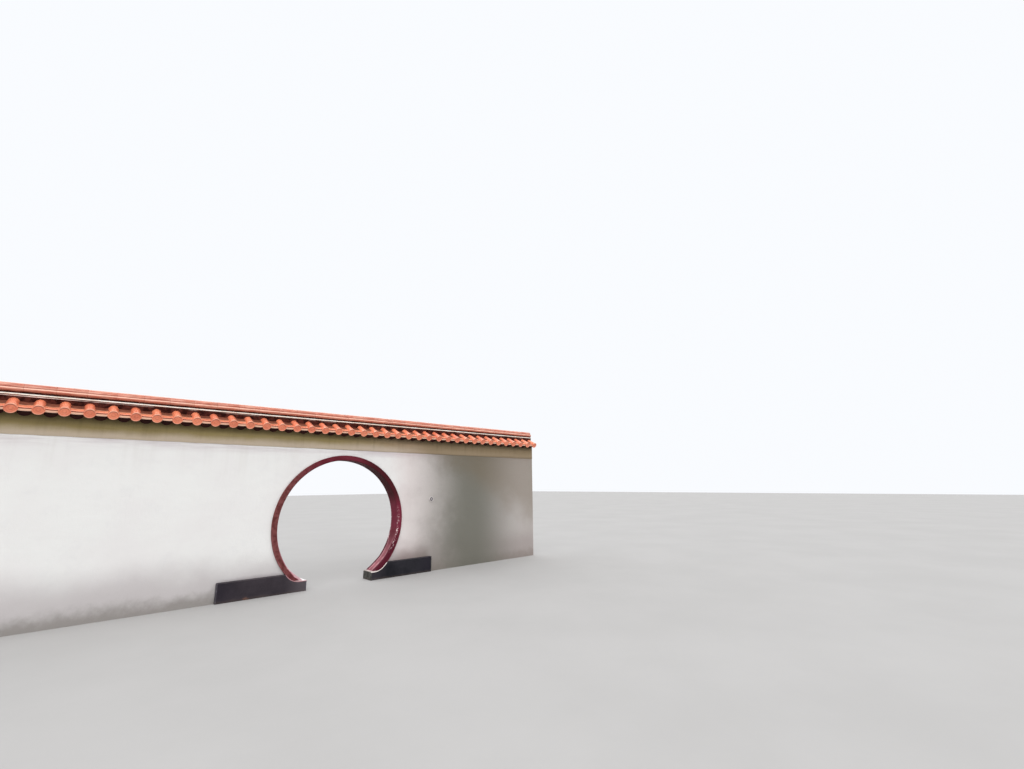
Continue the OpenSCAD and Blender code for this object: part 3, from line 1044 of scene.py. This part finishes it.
def end_dirt_and_shadow(point):
    """How dark a round end is made: the groove inside its rim carries some dirt and painted shadow, darkest
    at the top.
    """
    radius = math.hypot(point.x, point.z)
    if point.y > END_FLOOR_Y or radius > END_RIM_R:
        return 0.0
    if radius > END_FIELD_R:
        return 0.1 + 0.9 * max(point.z, 0) / radius + 0.7 * max(-point.z, 0) / radius
    return 0.2 if END_NAVEL_R < radius < END_BOSS_R else 0.05


def end_rim_highlight(point):
    """A painted highlight: the rim of a round end is brightest at its top and bottom."""
    on_rim = math.hypot(point.x, point.z) > END_RIM_R
    return 0.5 * abs(point.z) / ROLL_R if on_rim else 0.0


def roll_end():
    """The round end of a roll: a rim, a groove, a raised field and a boss."""
    end = add_drum("roll_end", ROLL_END_R, -0.012, 0.009, sides=28)
    carve_front(end, ((0.002, 0.0015), (0.004, 0.0), (0.002, -0.005), (0.010, 0.0), (0.003, 0.003),
                      (0.010, 0.0), (0.002, -0.002), (0.009, 0.0), (0.004, 0.003), (0.005, 0.001)))
    mark(end, "hollow", end_dirt_and_shadow)
    mark(end, "highlights_and_lips", end_rim_highlight)
    return end


def roll_barrel():
    """The half round body of a roll tile."""
    barrel = add_drum("roll_barrel", ROLL_R - 0.0005, 0.004, SLOPE_LEN + 0.035, sides=28, ends="NOTHING")
    edit(barrel)
    cut_flat((0, 0, 0.012), (0, 0, 1), fill=False)
    divide(lambda e: reach(e).y > 0.1, cuts=3)
    leave_edit()
    use_modifier(barrel, "SOLIDIFY", thickness=TILE_T, offset=-1.0)
    return barrel


def make_rolls(face_name, face):
    chance = random.Random("rolls " + face_name)
    end, barrel = roll_end(), roll_barrel()
    hold(barrel)
    end.select_set(True)
    bpy.ops.object.join()
    lay_tiles("roll_tiles_laid_" + face_name, barrel, slope_places(ROLLS, face, chance, degrees=0.7), chance,
              "glaze", "tile_glaze", "roll_tiles_" + face_name)


def pan_section(name, low_y, high_y, low_z, high_z):
    """A flat section of a pan tile, standing in the middle plane of the pan."""
    centre = (0, (low_y + high_y) / 2, (low_z + high_z) / 2)
    return add_sheet(name, centre, high_z - low_z, high_y - low_y, math.pi / 2)


def spin_pan(section, half_width, steps):
    """Spins the section about the pan's own axis, from edge to edge."""
    axis_point = (0, 0, PAN_RISE + PAN_R)
    half_angle = math.asin(half_width / PAN_R)
    section.matrix_world = turned(axis_point, half_angle, "Y")
    settle(section)
    edit(section)
    pick_all()
    bpy.ops.mesh.spin(steps=steps, angle=2 * half_angle, center=axis_point, axis=(0, 1, 0))
    leave_edit()
    make_sound(section)


def lower_pan():
    """The lower pan tile, whose thick rim has a bead above and below a groove."""
    tile = pan_section("lower_pan", RIM_FRONT, RIM_BACK, 0.0, PAN_RISE)
    edit(tile)
    pick("EDGE", lambda e: middle(e).y > RIM_BACK - NEAR)
    extrude((0, 0.108, 0))
    pick("EDGE", lambda e: middle(e).z < NEAR and middle(e).y < RIM_BACK - NEAR)
    extrude((0, 0, -RIM_HANG))
    divide(lambda e: middle(e).y < RIM_FRONT + NEAR and middle(e).z < -NEAR, cuts=3)
    for level, move in ((0.0, (0, 0.010, 0.006)), (-0.25, (0, 0.010, 0.008)),
                        (-0.5, (0, -0.004, 0.010)), (-0.75, (0, -0.005, 0.005))):
        pick("VERT", lambda v: v.co.y < RIM_FRONT + NEAR and abs(v.co.z - level * RIM_HANG) < NEAR)
        bpy.ops.transform.translate(value=move)
    round_corners(lambda v: v.co.y < RIM_FRONT + NEAR and v.co.z > PAN_RISE - NEAR, width=0.003, segments=2)
    round_corners(lambda v: v.co.y < RIM_FRONT + NEAR and v.co.z < NEAR - RIM_HANG, width=0.003, segments=2)
    leave_edit()
    # Painted shade in the rim's groove, and a painted highlight on its lower bead
    mark(tile, "hollow", lambda point: 0.013 < point.y < 0.0175 and -0.003 < point.z < 0.008)
    mark(tile, "highlights_and_lips", lambda point: 1.0 if point.y < 0.010 and point.z < -0.003 else 0.15)
    spin_pan(tile, PAN_HALF, steps=12)
    return tile


def upper_pan():
    """The upper pan tile, which laps over the lower one and shows a bright front edge."""
    front, bright, thickness = 0.068, 0.090, 0.008
    tile = pan_section("upper_pan", front, SLOPE_LEN + 0.02, PAN_RISE + 0.0003, PAN_RISE + thickness)
    edit(tile)
    round_corners(lambda v: v.co.y < front + NEAR, width=0.003, segments=2)
    pick_all()
    bpy.ops.mesh.bisect(plane_co=(0, bright, 0), plane_no=(0, 1, 0))
    leave_edit()
    mark(tile, "highlights_and_lips", lambda point: point.y < bright - NEAR)
    spin_pan(tile, PAN_HALF - 0.015, steps=10)
    return tile


def make_pans(face_name, face):
    chance = random.Random("pans " + face_name)
    for name, shape, finish, slot in (("pan_tiles_lower_", lower_pan, "glaze", "tile_glaze"),
                                      ("pan_tiles_upper_", upper_pan, "pan_glaze", "dark_glaze")):
        lay_tiles(name + face_name, shape(), slope_places(PANS, face, chance, degrees=0.5), chance,
                  finish, slot, "pan_tiles_" + face_name)


def make_drips(face_name, face):
    """Hanging plates with a round foot and a raised border, under the rims of the pans."""
    chance = random.Random("drips " + face_name)
    half_width, hang, thickness = 0.075, 0.100, 0.010
    centre_z = half_width - hang
    plate = start_piece("drip_plate", bpy.ops.mesh.primitive_circle_add, vertices=32, radius=half_width,
                        fill_type="NGON", location=(0, RIM_BACK + thickness, centre_z),
                        rotation=(math.pi / 2, 0, 0))
    edit(plate)
    cut_flat((0, 0, centre_z), (0, 0, -1), fill=False)
    pick("EDGE", lambda e: e.calc_length() > half_width)
    extrude((0, 0, -centre_z - 0.002))
    pick_all()
    bpy.ops.mesh.dissolve_limited(angle_limit=math.radians(1))
    pick_all()
    extrude((0, -thickness, 0))
    leave_edit()
    make_sound(plate)
    carve_front(plate, ((0.002, 0.0015), (0.007, 0.0), (0.002, -0.003)))
    lay_tiles("drip_tiles_laid_" + face_name, plate, slope_places(PANS, face, chance, degrees=1.0), chance,
              "drip_glaze", "dark_glaze", "drip_tiles_" + face_name)


# The ridge

def long_bar(name, low, high, finish, slot, *nodes, arris, cuts, lump_size, height):
    """A bar along the whole wall, with rounded arrises and an uneven face."""
    bar = add_block(name, low, high)
    edit(bar)
    round_long_edges(arris, segments=4)
    divide(lambda e: along_x(e) and e.calc_length() > 1.0, cuts)
    leave_edit()
    make_sound(bar)
    hand_finish(bar, lump_size, height)
    complete(bar, finish, slot, *nodes)


def make_ridge_foot():
    """The dark ridge wall, with a thin second line of mortar, the main line and the neck."""
    long_bar("ridge_brickwork", ridge_low, ridge_high, "bedding", "bedding", "ridge_wall",
             arris=0.004, cuts=160, lump_size=0.14, height=0.005)
    long_bar("ridge_mortar_line", mortar_low - Vector((0.002, 0.002, MORTAR_SINK)),
             mortar_high + Vector((0.002, 0.002, 0.003 - MORTAR_SINK)), "mortar", "pale_mortar",
             "ridge_mortar", arris=0.0075, cuts=420, lump_size=0.07, height=0.005)
    # The thin joint shows past the bricks at the wall's two ends as well
    half_joint = Vector((WALL_END + 0.003, RIDGE_FACE + 0.0035, 0.0045))
    joint_middle = Vector((0, 0, ridge_high.z - 0.022))
    long_bar("ridge_thin_joint", joint_middle - half_joint, joint_middle + half_joint, "thin_joint",
             "pale_mortar", arris=0.003, cuts=420, lump_size=0.09, height=0.006)
    neck_lap = Vector((0, 0, 0.004))
    long_bar("ridge_recess", neck_low - neck_lap, neck_high + neck_lap, "bedding", "bedding", "ridge_neck",
             arris=0.003, cuts=120, lump_size=0.12, height=0.003)


def lay_ridge(name, pattern, height, chance, node):
    """Lays tiles along the ridge, each turned a hair about its own middle."""
    places = []
    for number in range(RIDGE_TILES):
        x = WALL_END * ((2 * number + 1) / RIDGE_TILES - 1)
        shift = Vector((x, chance.uniform(-0.0015, 0.0015), chance.uniform(-0.001, 0.001)))
        turn = turned((0, 0, height), math.radians(chance.uniform(-0.25, 0.25)), "Y")
        places.append(Matrix.Translation(shift) @ turn)
    lay_tiles(name, pattern, places, chance, "ridge_glaze", "tile_glaze", node)


def course_tile(half):
    """A round nosed tile of the lower course."""
    foot, head = course_low.z - RIDGE_SINK - 0.004, course_high.z - RIDGE_SINK
    tile = add_block("course_tile", (-half, course_low.y, foot), (half, course_high.y, head))
    edit(tile)
    round_long_edges(width=0.0235, segments=7)
    pick("FACE", lambda f: abs(f.normal.x) > 0.9)
    bpy.ops.mesh.inset(thickness=0.0025, depth=0.0)
    leave_edit()
    ease_edges(tile, width=0.002)
    # Painted shade on the top under the cap and along the foot, and a painted highlight on the nose
    mark(tile, "hollow", lambda point: point.z > head - 0.001 or 0.4 * (point.z < foot + 0.02))
    mark(tile, "highlights_and_lips", lambda point: 0.012 < head - point.z < 0.020)
    return tile


def cap_tile(half):
    """A half round tile of the top course."""
    radius = cap_high.y - 0.004
    foot = cap_low.z - RIDGE_SINK
    tile = start_piece("cap_tile", bpy.ops.mesh.primitive_cylinder_add, vertices=40, radius=radius,
                       depth=2 * half, location=(0, 0, foot), rotation=(0, math.pi / 2, 0))
    edit(tile)
    cut_flat((0, 0, foot - 0.004), (0, 0, 1))
    leave_edit()
    ease_edges(tile, width=0.002)
    # Painted shade along the foot, and a painted highlight along the crest
    mark(tile, "hollow", lambda point: point.z < foot + 0.008)
    mark(tile, "highlights_and_lips", lambda point: 0.7 * (point.z > foot + radius - 0.008))
    return tile


def make_ridge_tiles():
    chance = random.Random("ridge")
    half = WALL_END / RIDGE_TILES - 0.0004
    lay_ridge("ridge_course_tiles", course_tile(half), course_low.z, chance, "ridge_course")
    lay_ridge("ridge_cap_tiles", cap_tile(half), cap_low.z, chance, "ridge_cap")


place_camera()
light_the_studio()
lay_floor()
make_ring()
for label, sign in SIDES.items():
    make_plinth(label, sign)
make_wall()
for label, sign in FACES.items():
    make_frieze(label, sign)
make_fixing()
make_bed()
for label, sign in FACES.items():
    make_rolls(label, sign)
    make_pans(label, sign)
    make_drips(label, sign)
make_ridge_foot()
make_ridge_tiles()
